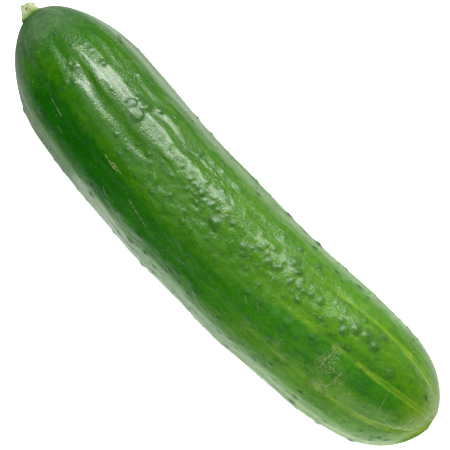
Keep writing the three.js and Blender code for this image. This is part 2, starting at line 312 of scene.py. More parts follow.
@dataclass(frozen=True)
class Form:
    """The fruit's plain body, in mm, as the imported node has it."""

    stalk_end: float = -93.2
    blossom_end: float = 96.5
    radius: float = 22.7
    seat_depth: float = 0.9
    flat_depth: float = 0.5
    stalk_bluntness: float = 5.15
    blossom_bluntness: float = 6.6
    fullness: float = 1.72
    bow_reach: float = 90.0
    bow_depth: float = 9.0
    bow_centre: float = -0.9
    # Bends towards the two ends, as how far each leads aside, the x where it starts and the end.
    hooks: tuple[tuple[float, float, float], ...] = ((1.0, 60.0, 96.5), (-2.3, -50.0, -93.2))
    dimple_depth: float = 0.9
    dimple_radius: float = 2.4
    seams: int = 10
    seam_phase: float = np.radians(-7)
    seam_half_width: float = np.radians(5)
    seam_depths: tuple[float, float] = (0.14, 0.5)
    rib_height: float = 0.16
    lobes: int = 3
    lobe_height: float = 0.25
    lobe_phase: float = np.radians(25)
    wave_height: float = 0.12
    wave_length: float = 31.0
    cross_wave_share: float = 0.63
    cross_wave_phase: float = 1.0
    # Broad swellings and hollows of the sides, as x, turn in degrees, half length, spread in degrees, height.
    broad: tuple[tuple[float, ...], ...] = (
        (-62, -95, 16, 55, 1.75),
        (12, -95, 16, 55, -0.7),
        (50, -95, 13, 55, -0.8),
        (84, -90, 12, 50, 0.55),
        (-80, 85, 12, 50, -0.3),
        (5, 90, 15, 50, 0.75),
        (75, 80, 14, 50, -0.3),
    )

    @property
    def middle(self) -> float:
        """The middle of the length."""
        return (self.stalk_end + self.blossom_end) / 2

    @property
    def half_length(self) -> float:
        """Half the length."""
        return (self.blossom_end - self.stalk_end) / 2

    @property
    def seat(self) -> float:
        """Where the stalk end is cut flat."""
        return self.stalk_end + self.seat_depth

    @property
    def height(self) -> float:
        """The spine's height over the floor."""
        return self.radius - self.flat_depth

    def spine(self, x: Array) -> Array:
        """The spine's sideways place: one parabola, and another one added at each end.

        Args:
            x: Places along it.

        Returns:
            How far it lies aside at each.
        """
        place = self.bow_centre + self.bow_depth * (x / self.bow_reach) ** 2
        for aside, start, end in self.hooks:
            place = place + aside * np.maximum(0, (x - start) / (end - start)) ** 2
        return place

    def slope(self, x: Array) -> Array:
        """The spine's sideways slope.

        Args:
            x: Places along it.

        Returns:
            The slope at each.
        """
        slope = self.bow_depth * x / self.bow_reach**2
        for aside, start, end in self.hooks:
            slope = slope + aside * np.maximum(0, (x - start) / (end - start)) / (end - start)
        return 2 * slope

    def girth(self, x: Array) -> Array:
        """The plain radius: a superellipse that is a little blunter at the blossom end.

        Args:
            x: Places along the spine.

        Returns:
            The radius at each.
        """
        share = np.minimum(1, np.abs(x - self.middle) / self.half_length)
        bluntness = np.where(x < self.middle, self.stalk_bluntness, self.blossom_bluntness)
        return self.radius * (1 - share**bluntness) ** (1 / self.fullness)

    def on_skin(self, x: float, turn: float) -> Array:
        """A place on the straightened fruit, from its x in mm and its turn in degrees."""
        return self.straightened(np.array(x), np.radians(turn))

    def straightened(self, x: Array, turn: Array) -> Array:
        """Places on the straightened fruit, without relief."""
        reach = self.girth(x)
        return np.stack([x, reach * np.sin(turn), reach * np.cos(turn)], -1)

    def seam_offset(self, turn: Array) -> Array:
        """The angle from the nearest seam."""
        ribs = (turn - self.seam_phase) * self.seams / FULL_TURN
        return (ribs - np.round(ribs)) * FULL_TURN / self.seams

    def relief(self, x: Array, turn: Array) -> Array:
        """How far the skin stands out of its plain radius.

        That is lobes, ribs between sunk seams, slow waves, and bell curves for the broad swellings.

        Args:
            x: Places along the spine.
            turn: Turns round it, of the same shape.

        Returns:
            Heights.
        """
        share = np.abs(x - self.middle) / self.half_length
        depth = self.seam_depths[0] + (self.seam_depths[1] - self.seam_depths[0]) * share**2
        seam = -depth * bell(self.seam_offset(turn), 0, self.seam_half_width)
        rib = -self.rib_height * np.cos(self.seams * (turn - self.seam_phase))
        lobe = self.lobe_height * np.cos(self.lobes * (turn - self.lobe_phase))
        phase = FULL_TURN * x / self.wave_length
        cross = np.sin(self.cross_wave_share * phase - 3 * turn + self.cross_wave_phase)
        wave = self.wave_height * (np.sin(phase + 2 * turn) + cross)
        broad = 0.0
        for place, degrees, half_length, spread, height in self.broad:
            around = bell(wrapped(turn - np.radians(degrees)), 0, np.radians(spread))
            broad = broad + height * bell(x, place, half_length) * around
        return self.girth(x) / self.radius * (seam + rib + lobe + wave + broad)

    def surface(self, x: Array, turn: Array, relief_turn: Array) -> Array:
        """The plain skin, its sections square to the spine.

        Args:
            x: Places along the spine.
            turn: Turns round it, of the same shape.
            relief_turn: The turns that the relief is read at.

        Returns:
            Points, of that shape with 3 coordinates.
        """
        seated = np.maximum(x, self.seat)
        plain = self.girth(x)
        reach = plain + self.relief(x, relief_turn)
        slope = self.slope(seated)
        side = reach * np.sin(turn) / np.hypot(1, slope)
        dimple = self.dimple_depth * bell(plain, 0, self.dimple_radius) * (x > self.middle)
        across = self.spine(seated) + side
        return np.stack([seated - dimple - slope * side, across, self.height + reach * np.cos(turn)], -1)

    def even_rows(self, count: int) -> tuple[Array, Array]:
        """Places along the spine that are evenly spaced over the skin from pole to pole.

        Args:
            count: How many rows, with no row on a pole.

        Returns:
            The places, and the distance of each over the skin from the stalk's pole.
        """
        fine = self.middle - self.half_length * np.cos(np.linspace(0, np.pi, 6001))
        steps = np.hypot(np.diff(fine), np.diff(self.girth(fine)))
        run = np.concatenate([[0], np.cumsum(steps)])
        even = np.linspace(0, run[-1], count + 2)[1:-1]
        return np.interp(even, run, fine), even


# ---- Relief on the form ----

# Warts that stand one by one, as x, turn in degrees and radius at the foot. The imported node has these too.
SHOULDER_WARTS = (
    (-59, 16, 1.1), (-63.5, -7, 1), (-59, -14, 0.9), (-61, -20, 0.8), (-60, -25, 0.8),
    (-60.5, -57, 1.1), (-53, -59, 0.8),
)  # fmt: skip
RINGED_WARTS = (
    (-44, 12, 0.8), (-42, 13.5, 0.9), (-42.5, 21, 1.2), (-37.5, 10.5, 1.7), (-38.5, 22, 1.7),
    (-35, 30, 1.1), (-37, -12, 0.8), (-31.5, -20, 0.8), (-25.5, -2, 0.9), (-31.5, -62, 1.1),
    (-37, 43, 0.8), (-45, 42, 0.8),
)  # fmt: skip
MIDDLE_WARTS = (
    (-15.5, 32, 0.9), (-4.5, 9, 1.1), (0.5, 10, 1), (9.5, 11, 1), (-9, 2, 0.9), (-3.5, 1, 0.8),
    (5.5, 1, 1.5), (-8.5, 45, 0.8), (-19, -24, 0.8), (-2, -18, 0.8), (-18.5, -54, 1.1),
    (-9.5, -56, 1.1), (-5, -68, 0.9), (7, -55, 0.9),
)  # fmt: skip
BLOSSOM_SIDE_WARTS = (
    (32, 26, 1.4), (32, 21.5, 0.9), (35, 19, 1.1), (38, 16, 0.8), (20.5, 12, 0.8), (26, 9, 1),
    (29, 9, 1), (17, 3, 1), (18.5, -1, 1), (22.5, -7, 0.8), (35.5, 10, 0.8), (40.5, 10, 0.8),
    (41, 2, 0.9), (43, 12, 0.8), (46.5, 13, 1), (50, 2, 0.8), (38, 38, 0.9), (30, 38, 0.8),
    (15.5, -54, 1.2), (61, 27, 0.8), (68.5, 27, 1.1), (55.5, 13, 0.9), (58, 8, 1.2), (60.5, 15, 1.5),
    (64.5, 16, 1.7), (68.5, 14, 1.5), (62.5, -1, 0.8), (77, 5, 1.3), (56, -18, 0.8), (43.5, -24, 0.8),
    (41.5, -37, 0.9),
)  # fmt: skip
# Smaller ones, on the visible skin alone.
SMALL_WARTS = (
    (-77.5, -1, 0.5), (-68.5, 16, 0.6), (-65.5, 17, 0.6), (-65.5, -8, 0.8), (-45, -30, 0.7),
    (-41.5, -32, 0.6), (-31, -13, 0.7), (-28, -19, 0.7), (-23, -6, 0.7), (-15.5, 12, 0.8),
    (-10.5, 10, 0.8), (-7, 10, 0.7), (3, 9, 0.7), (6.5, 11, 0.7), (-5.5, 1, 0.7), (7, 52, 0.7),
    (-15.5, -20, 0.8), (-8.5, -23, 0.7), (9.5, -61, 0.8), (24.5, 20, 0.7), (21.5, 13, 0.7),
    (24, 13, 0.7), (19.5, 8, 0.7), (24, 0, 0.7), (30, 12, 0.7), (38.5, 10, 0.7), (38, 4, 0.7),
    (52.5, 2, 0.7), (58.5, 28, 0.7), (52, 27, 0.7), (72, -2, 0.7), (90.5, 14, 0.7), (52, -13, 0.8),
    (53, -17, 0.7), (51.5, -30, 0.7),
)  # fmt: skip


@dataclass(frozen=True)
class Swelling:
    """A round or long swelling of the skin, or a dent where its height is negative.

    Its height falls off from the centre as exp(-1.6 distance ** power), with distance 1 at the edge.
    A ring stands along that edge only, as a bell curve. The reach is how far out it is worked out at all.
    """

    x: float
    turn: float
    radius: float
    height: float
    stretch: float = 1.0
    power: float = 2.0
    ring: float = 0.0
    reach: float = 2.2

    def profile(self, distance: Array) -> Array:
        """Its height at those distances from its centre."""
        if self.ring:
            return self.height * bell(distance, 1, self.ring)
        return self.height * np.exp(-1.6 * distance**self.power)


# Long ribs of the stalk half, the smooth swelling on the top with the line round it, the large warts' own
# lobes, and dents, as the first fields of a swelling.
SWELLINGS = (
    (-52, 30, 2.6, 0.22, 11.0),
    (-59, -1.5, 1.6, -0.26, 5.0, 3.0),
    (-46, -4.0, 2.7, -0.4, 3.8, 3.0),
    (-31.5, -4.5, 2.2, -0.3, 3.5, 3.0),
    (-50, 19.5, 1.7, 0.17, 9.0, 3.0),
    (-47, 9.5, 1.5, 0.2, 11.0, 3.0),
    (-52, -12, 1.9, 0.15, 8.0, 3.0),
    (-52, -27, 2.0, 0.12, 8.0, 2.5),
    (-18, 8.5, 1.5, 0.18, 8.0, 3.0),
    (-9, 18, 4.1, 0.32, 3.4, 6.0),
    (-9, 18, 5.4, 0.12, 2.75, 2.0, 0.08),
    (-37.5, 10.5, 1.7, -0.5, 1.0, 2.4),
    (-38, 10.4, 1.6, 0.24, 1.4, 7.0),
    (-42, 13.5, 0.9, -0.2),
    (-42, 13.5, 1.6, 0.08, 1.0, 4.0),
    (-39.5, 21.5, 1.7, 0.15, 1.5, 5.0),
    (-15.7, -14, 1.7, -0.24, 1.0, 3.0),
    (-21.5, 4.8, 0.7, -0.3, 5.0),
    (-3, -1.2, 0.7, -0.25, 5.0),
    (-69, 25, 0.9, -0.2),
    (-60.5, -28, 1.5, -0.3),
    (7, -5, 1.0, -0.25, 1.6),
    (28, 5, 1.3, -0.3, 1.3),
    (11, -23, 1.6, -0.25),
    (5, -27, 1.4, -0.2, 2.0),
)

# Scratches and fine lines across the skin, as their ends, their width in mm and how much they show.
MARKS: tuple[tuple[Place, Place, float, float], ...] = (
    ((-60.5, -40), (-53.5, -41.5), 0.2, 0.7),
    ((-52.5, -50), (-49.5, -50.5), 0.16, 0.6),
    ((-35, -30), (-29, -32), 0.22, 0.7),
    ((-31, -29), (-26.5, -30), 0.2, 0.6),
    ((-20.5, -7), (-17.5, -11), 0.2, 0.45),
    ((-19.5, -39.5), (-9.5, -45), 0.2, 0.7),
    ((-28.5, -51), (-26, -55.5), 0.16, 0.5),
    ((0, -30), (5, -36), 0.14, 0.4),
    ((29.5, 8), (31, -1), 0.16, 0.5),
    ((47.5, 38), (48.9, 29), 0.2, 0.55),
    ((48.9, 29), (50.5, 19.5), 0.18, 0.5),
    ((27.5, -23), (30, -28), 0.22, 0.5),
    ((11, -20.5), (13.5, -15), 0.16, 0.4),
    ((32, -21), (35, -27), 0.2, 0.4),
    ((59.7, -7), (59.4, -15), 0.22, 0.4),
    ((59.4, -15), (59.0, -26), 0.2, 0.45),
    ((59.0, -26), (58.6, -37), 0.2, 0.35),
    ((65.4, -20), (65.2, -30), 0.25, 0.7),
    ((65.2, -30), (64.0, -40), 0.22, 0.6),
    ((79.6, -5), (80.2, -15), 0.2, 0.35),
    ((80.2, -15), (80.8, -35), 0.2, 0.4),
    ((83.5, -23), (83.5, -39), 0.2, 0.35),
    ((70.5, -27), (71.5, -38), 0.16, 0.35),
    ((90.6, -15), (90.2, -30), 0.3, 0.55),
    ((90.2, -30), (88.2, -46), 0.3, 0.55),
)

# Scuffed and speckled places, and two small pale spots near the blossom end that are painted glints, as the
# place, a radius in mm and how much they show.
SCUFFS_AND_GLINTS: tuple[tuple[Place, float, float], ...] = (
    ((60, -7), 2.6, 0.8),
    ((62.5, -43.5), 4.5, 0.75),
    ((60.5, -22), 6.0, 0.7),
    ((66, -27), 3.5, 0.6),
    ((71, -38), 3.0, 0.5),
    # Two painted glints.
    ((76.8, 30.7), 0.9, 0.9),
    ((78.5, 31.4), 0.7, 0.9),
    ((-66, 8), 1.8, 0.6),
    ((-69, 7), 1.4, 0.7),
    ((34, -44), 4.0, 0.35),
    ((45, -34), 3.0, 0.4),
    ((90, -24), 2.5, 0.5),
)

# Painted shade in the creases round the large warts of the stalk half: the centre, the radius in mm, the side
# where the painted shade is darkest, in degrees from the blossom's side towards higher turns, how one-sided
# it is and how much it shows.
CREASE_SHADES: tuple[tuple[Place, float, float, float, float], ...] = (
    ((-42.2, 13.5), 1.7, 90, 0.4, 0.9),
    ((-38.2, 10.4), 2.5, 30, 1.0, 1.0),
    ((-36.6, 5.6), 0.6, -40, 0.3, 0.9),
    ((-42.3, 22.5), 1.1, 40, 1.0, 0.9),
    ((-38.7, 25.0), 1.2, 90, 1.0, 0.9),
    ((-36.8, 25.5), 0.7, 60, 1.0, 0.7),
    ((-59.0, 16.0), 1.2, 60, 0.8, 0.8),
    ((-60.5, -25.0), 1.0, -90, 0.8, 0.7),
    ((-59.0, -14.0), 1.0, -90, 0.6, 0.7),
    ((-31.5, -20.0), 1.0, -60, 0.8, 0.7),
)


@dataclass(frozen=True)
class WartRule:
    """How warts are drawn at random in loose rows along the ribs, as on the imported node."""

    seed: int = 20261
    start: float = -76.0
    end: float = 88.0
    gap_near_stalk: float = 21.0
    gap_in_field: float = 11.5
    field_start: float = -34.0
    clearance: float = 4.2
    radii: tuple[float, float] = (0.8, 1.7)
    gap_spread: tuple[float, float] = (0.6, 1.4)
    place_on_rib: tuple[float, float] = (0.12, 0.88)
    turns: tuple[float, float] = (np.radians(52), np.radians(290))
    steepness: float = 0.3
    small_steepness: float = 0.28
    power: float = 2.4

    def draws(self) -> Iterator[float]:
        """Park and Miller's generator of numbers between 0 and 1."""
        state = self.seed
        while True:
            state = state * 48271 % 2147483647
            yield state / 2147483647

    def crowds(self, form: Form, x: float, turn: float, others: Sequence[Sequence[float]]) -> bool:
        """Whether a wart would stand too near one of the others, whose turns are in degrees."""
        along, turns, _ = np.transpose(others)
        around = form.girth(x) * wrapped(turn - np.radians(turns))
        return bool(np.any(np.hypot(x - along, around) < self.clearance))

    def warts(self, form: Form) -> list[Swelling]:
        """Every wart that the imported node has, and the smaller ones.

        Args:
            form: The fruit that they stand on.

        Returns:
            The warts, those placed by hand first.
        """
        placed = [*SHOULDER_WARTS, *RINGED_WARTS, *MIDDLE_WARTS, *BLOSSOM_SIDE_WARTS]
        stream = self.draws()

        def draw(low: float, high: float) -> float:
            """The next number, between those two."""
            return low + (high - low) * next(stream)

        drawn = []
        for rib in range(form.seams):
            x = self.start + draw(0, self.gap_near_stalk)
            while x < self.end:
                turn = form.seam_phase + FULL_TURN / form.seams * (rib + draw(*self.place_on_rib))
                radius = self.radii[0] + (self.radii[1] - self.radii[0]) * draw(0, 1) ** 3
                nearness = np.clip((x - self.start) / (self.field_start - self.start), 0, 1)
                gap = self.gap_near_stalk + (self.gap_in_field - self.gap_near_stalk) * nearness
                if self.turns[0] < turn < self.turns[1] and not self.crowds(form, x, turn, placed):
                    drawn.append((x, np.degrees(turn), radius))
                x += gap * draw(*self.gap_spread)
        large = [Swelling(*wart, self.steepness * wart[2], power=self.power) for wart in [*placed, *drawn]]
        return large + [Swelling(*wart, self.small_steepness * wart[2]) for wart in SMALL_WARTS]


@dataclass(frozen=True)
class PimpleRule:
    """How the small pimples between the warts are drawn."""

    seed: int = 7
    tries: int = 1500
    radii: tuple[float, float] = (0.42, 0.85)
    steepness: float = 0.3
    reach: Span = (-80, 90)
    crowded: Span = (-45, 10)
    thinned: Span = (66, 88)
    share_near_stalk: float = 0.16
    share_near_blossom: float = 0.25

    def pimples(self, form: Form) -> list[Swelling]:
        """Draws them, few near the stalk and close together in the blossom half.

        Args:
            form: The fruit that they stand on.

        Returns:
            The pimples.
        """
        draw = np.random.default_rng(self.seed)
        x = draw.uniform(*self.reach, self.tries)
        turn = draw.uniform(-180, 180, self.tries)
        radius = draw.uniform(*self.radii, self.tries)
        thinning = 1 - (1 - self.share_near_blossom) * ease(*self.thinned, x)
        crowding = self.share_near_stalk + (1 - self.share_near_stalk) * ease(*self.crowded, x) * thinning
        angle = np.radians(turn)
        patchy = 0.5 + 0.5 * np.sin(x / 9 + 1.3 * np.sin(angle * 3 + 1)) * np.cos(angle * 4)
        kept = draw.uniform(0, 1, self.tries) < crowding * (0.35 + 0.65 * patchy)
        rows = np.stack([x, turn, radius], -1)[kept]
        return [Swelling(*row, self.steepness * row[2]) for row in rows.tolist()]


@dataclass(frozen=True)
class Ripples:
    """Smooth random unevenness: a sum of waves in all directions over the skin.

    Lengths and the height are in mm. Stretch is how much longer the waves are along the fruit.
    """

    height: float
    seed: int
    count: int
    lengths: tuple[float, float]
    stretch: float = 1.0
    radius: float = 22.7

    def heights(self, x: Array, turn: Array) -> Array:
        """The sum of cos(k x + m turn + phase) with whole m, whose mean square is the height's square.

        Args:
            x: Places along the fruit.
            turn: Turns round it, of the same shape.

        Returns:
            Heights.
        """
        draw = np.random.default_rng(self.seed)
        numbers = FULL_TURN / draw.uniform(*self.lengths, self.count)
        directions = draw.uniform(0, np.pi, self.count)
        phases = draw.uniform(0, FULL_TURN, self.count)
        along = numbers * np.cos(directions) / self.stretch
        times = np.round(numbers * np.sin(directions) * self.radius)
        total = np.zeros(np.broadcast(x, turn).shape)
        for wave_number, turns, phase in zip(along, times, phases):
            total += np.cos(wave_number * x + turns * turn + phase)
        return self.height * total * np.sqrt(2 / self.count)


@dataclass
class Fruit:
    """The grown body of the cucumber: its skin with ribs, seams, warts and the blossom's scar."""

    form: Form = field(default_factory=Form)
    warts: WartRule = field(default_factory=WartRule)
    pimples: PimpleRule = field(default_factory=PimpleRule)
    sides: int = 260
    rows: int = 378
    crowding: float = 0.35
    relief_start: Span = (0.5, 3)
    lumps: Ripples = Ripples(0.05, 3, 40, (9.0, 22.0), 1.5)
    grain: Ripples = Ripples(0.03, 4, 70, (3.0, 7.0), 1.3)
    crinkle: Ripples = Ripples(0.03, 6, 80, (2.4, 4.8), 1.5)
    rough_start: Span = (-36, 0)
    rough_near_stalk: float = 0.3
    crinkle_start: Span = (-36, -14)
    crinkled_start: Span = (-34, -18)
    crinkled_end: Span = (52, 70)
    crinkled_elsewhere: float = 0.25
    crinkled_most: Span = (4, -8)  # In degrees from the top.
    uneven_start: Span = (-90, -78)
    uneven_end: Span = (84, 95)
    crinkled_middle: float = -6
    crinkled_spread: float = 34
    fine_ribs_per_rib: int = 3
    fine_rib_height: float = 0.075
    ribs_start: Span = (-80, -60)
    ribs_lowered: Span = (-5, 30)
    ribs_end: Span = (70, 92)
    # The waves that fine ribs wander by, as their height, their length along x over 2 pi and their turns.
    rib_waves: tuple[tuple[float, float, int], ...] = ((1.0, 8.5, 2), (0.8, 4.9, -3), (0.5, 2.9, 5))
    seam_sway: float = np.radians(8)
    seam_sway_phase: float = np.radians(12)
    seam_sway_start: Span = (20, 85)
    seam_shift: float = np.radians(0.3)
    seam_line_gap: float = 0.8
    seam_line_spread: float = 0.35
    seam_line_height: float = 0.06
    seam_lines_start: Span = (30, 70)
    seam_lines_rise: Span = (60, 94)
    rim_height: float = 0.22
    rim_radius: float = 3.1
    rim_spread: float = 0.7
    mark_reach: float = 1.1
    crease_shade_sides: Span = (-0.35, 0.3)

    def build(self) -> bpy.types.Object:
        """Works out the skin and makes its mesh.

        Returns:
            The fruit.
        """
        form = self.form
        places, run = form.even_rows(self.rows)
        share = self.shares()[None]
        x = np.repeat(places[:, None], self.sides, 1)
        even = form.seam_phase + FULL_TURN * share
        turn = even + self.sway(x, even)

        plain = form.surface(x, turn, even)
        warts, near_wart = self.swell(self.warts.warts(form), x, turn, run)
        pimples, near_pimple = self.swell(self.pimples.pimples(form), x, turn, run)
        swellings, _ = self.swell([Swelling(*row) for row in SWELLINGS], x, turn, run)
        fine = self.ribs(x, turn) + self.unevenness(x, turn) + self.seam_lines(x, share) + self.scar(x)
        fade = ease(*self.relief_start, x - form.seat)
        skin = plain + self.outward(plain) * (fade * (fine + warts + pimples + swellings))[..., None]
        skin[..., 2] = np.maximum(skin[..., 2], 0)

        straight = form.straightened(x, turn)
        ends = np.array([form.stalk_end, form.blossom_end])
        attributes = {
            "straight": with_poles(straight, [form.stalk_end, 0, 0], [form.blossom_end, 0, 0]),
            "near_wart": with_poles(near_wart, FAR, FAR),
            "near_pimple": with_poles(near_pimple, FAR, FAR),
            "mark": with_poles(self.marks(straight), [FAR, FAR, 0], [FAR, FAR, 0]),
            "scuff_and_glint": with_poles(self.scuffs_and_glints(straight), 0, 0),
            "crease_shade": with_poles(self.crease_shades(straight), [FAR, 0, 0], [FAR, 0, 0]),
        }
        poles = form.surface(ends, np.zeros(2), np.zeros(2))
        return closed_tube("fruit_skin", poles, skin, share[0], attributes)

    def shares(self) -> Array:
        """Each side's share of a turn, from the first seam.

        The sides stand closer together at the top: a share u moves by -crowding sin(2 pi (u - top)) / 2 pi,
        and by as much again as keeps the first one at 0.

        Returns:
            The shares, from 0 up.
        """
        even = np.arange(self.sides) / self.sides
        top = -self.form.seam_phase / FULL_TURN
        shift = self.crowding / FULL_TURN
        return even - shift * (np.sin(FULL_TURN * (even - top)) + np.sin(FULL_TURN * top))

    def sway(self, x: Array, even: Array) -> Array:
        """How far the seams sway aside: as the sine of their turn, and only towards the blossom."""
        swayed = self.seam_sway * np.sin(even + self.seam_sway_phase)
        return swayed * ease(*self.seam_sway_start, x) + self.seam_shift

    @staticmethod
    def outward(points: Array) -> Array:
        """The normals of a grid of points that closes on itself round the fruit."""
        around = np.roll(points, -1, 1) - np.roll(points, 1, 1)
        return unit(np.cross(np.gradient(points, axis=0), around))

    def swell(
        self, swellings: Sequence[Swelling], x: Array, turn: Array, run: Array
    ) -> tuple[Array, Array]:
        """Adds up swellings, each worked out over the rows that it reaches.

        Args:
            swellings: Warts, dents and so on, with turns in degrees.
            x: Places along the spine.
            turn: Turns, of the same shape.
            run: Each row's distance over the skin.

        Returns:
            Heights in mm, and distances from the nearest centre in shares of that swelling's radius.
        """
        heights = np.zeros_like(x)
        nearest = np.full_like(x, FAR)
        girth = self.form.girth(x[:, 0])
        for bump in swellings:
            centre = np.interp(bump.x, x[:, 0], run)
            length = bump.radius * bump.stretch
            reach = bump.reach * length
            rows = slice(*np.searchsorted(run, [centre - reach, centre + reach]))
            around = girth[rows, None] * wrapped(turn[rows] - np.radians(bump.turn)) / bump.radius
            distance = np.hypot((run[rows, None] - centre) / length, around)
            heights[rows] += bump.profile(distance)
            nearest[rows] = np.minimum(nearest[rows], distance)
        return heights, nearest

    def ribs(self, x: Array, turn: Array) -> Array:
        """Fine ribs: the cosine of a phase that wanders, low on the shoulder and towards the blossom.

        Args:
            x: Places along the spine.
            turn: Turns round it, of the same shape.

        Returns:
            Heights.
        """
        wander = sum(height * np.sin(x / length + turns * turn) for height, length, turns in self.rib_waves)
        phase = self.form.seams * self.fine_ribs_per_rib * (turn - self.form.seam_phase) + wander
        reach = ease(*self.ribs_start, x) * (1 - ease(*self.ribs_end, x))
        reach = reach * (1 - 0.6 * ease(*self.ribs_lowered, x))
        uneven = 0.75 + 0.35 * np.sin(x / 11 + 4 * turn) * np.cos(x / 17 - 2 * turn)
        return self.fine_rib_height * reach * uneven * np.cos(phase)

    def unevenness(self, x: Array, turn: Array) -> Array:
        """Lumps and grain, stronger where the warts are, and crinkled skin on the middle's top.

        Args:
            x: Places along the spine.
            turn: Turns round it, of the same shape.

        Returns:
            Heights.
        """
        rough = self.rough_near_stalk + (1 - self.rough_near_stalk) * ease(*self.rough_start, x)
        ends = ease(*self.uneven_start, x) * (1 - ease(*self.uneven_end, x))
        from_top = np.degrees(wrapped(turn))
        on_top = np.exp(-(((from_top - self.crinkled_middle) / self.crinkled_spread) ** 4))
        on_top = on_top * (1 + 0.9 * ease(*self.crinkled_most, from_top))
        on_top = on_top * ease(*self.crinkled_start, x) * (1 - ease(*self.crinkled_end, x))
        crinkled = self.crinkled_elsewhere + (1 - self.crinkled_elsewhere) * on_top
        crinkle = self.crinkle.heights(x, turn) * ease(*self.crinkle_start, x)
        uneven = self.lumps.heights(x, turn) + self.grain.heights(x, turn)
        return ends * (rough * uneven + crinkled * crinkle)

    def seam_lines(self, x: Array, share: Array) -> Array:
        """Two low lines beside each seam, which rise towards the blossom.

        Args:
            x: Places along the spine.
            share: Shares of a turn from the first seam.

        Returns:
            Heights.
        """
        offset = self.form.seam_offset(self.form.seam_phase + FULL_TURN * share)
        distance = np.abs(offset) * self.form.girth(x)
        strength = 0.4 * ease(*self.seam_lines_start, x) + 0.6 * ease(*self.seam_lines_rise, x)
        return strength * self.seam_line_height * bell(distance, self.seam_line_gap, self.seam_line_spread)

    def scar(self, x: Array) -> Array:
        """A low rim round the dimple that the blossom left."""
        rim = bell(self.form.girth(x), self.rim_radius, self.rim_spread)
        return self.rim_height * rim * (x > self.form.middle)

    def marks(self, straight: Array) -> Array:
        """Places beside the nearest mark, from which a shader finds lines that are finer than the mesh.

        Args:
            straight: Places on the straightened fruit.

        Returns:
            The place across the mark in widths, along it in half lengths, and how much the mark shows.
        """
        places = np.full_like(straight, FAR)
        places[..., 2] = 0
        nearest = np.full(straight.shape[:2], 2 * self.mark_reach)
        for first, last, width, strength in MARKS:
            start, end = self.form.on_skin(*first), self.form.on_skin(*last)
            middle, half = (start + end) / 2, (end - start) / 2
            side = unit(np.cross(half, middle * [0, 1, 1]))
            offset = straight - middle
            along = offset @ half / (half @ half)
            distance = np.linalg.norm(offset - np.clip(along, -1, 1)[..., None] * half, axis=-1)
            near = distance < nearest
            nearest[near] = distance[near]
            shown = strength * (distance < self.mark_reach)
            places[near] = np.stack([offset @ side / width, along, shown], -1)[near]
        return places

    def scuffs_and_glints(self, straight: Array) -> Array:
        """How scuffed the skin is, with two small pale spots that are painted glints.

        Args:
            straight: Places on the straightened fruit.

        Returns:
            How much of a scuff shows at each.
        """
        scuffed = np.zeros(straight.shape[:2])
        for place, radius, strength in SCUFFS_AND_GLINTS:
            distance = np.linalg.norm(straight - self.form.on_skin(*place), axis=-1)
            scuffed = np.maximum(scuffed, strength * ease(-radius, -0.2 * radius, -distance))
        return scuffed

    def crease_shades(self, straight: Array) -> Array:
        """Places beside the nearest crease round a large wart, where shade is painted.

        Args:
            straight: Places on the straightened fruit.

        Returns:
            The distance out from the crease in mm, how much of its painted shade shows there, and 0.
        """
        places = np.zeros_like(straight)
        places[..., 0] = FAR
        for place, radius, side, one_sided, strength in CREASE_SHADES:
            offset = straight - self.form.on_skin(*place)
            angle = np.radians(place[1])
            around = offset @ np.array([0, np.cos(angle), -np.sin(angle)])
            out = np.linalg.norm(offset, axis=-1) - radius
            facing = np.cos(np.arctan2(around, offset[..., 0]) - np.radians(side))
            shown = strength * (1 - one_sided * (1 - ease(*self.crease_shade_sides, facing)))
            near = (np.abs(out) < np.abs(places[..., 0])) & (np.abs(out) < self.mark_reach)
            places[near] = np.stack([out, shown, 0 * out], -1)[near]
        return places

    def dress(self, piece: bpy.types.Object) -> None:
        """Gives the skin its finish and its place in the frame.

        Args:
            piece: The skin.
        """
        piece.data.materials.append(SkinFinish(self.form).material())
        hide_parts("fruit")
        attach(piece, BODY)


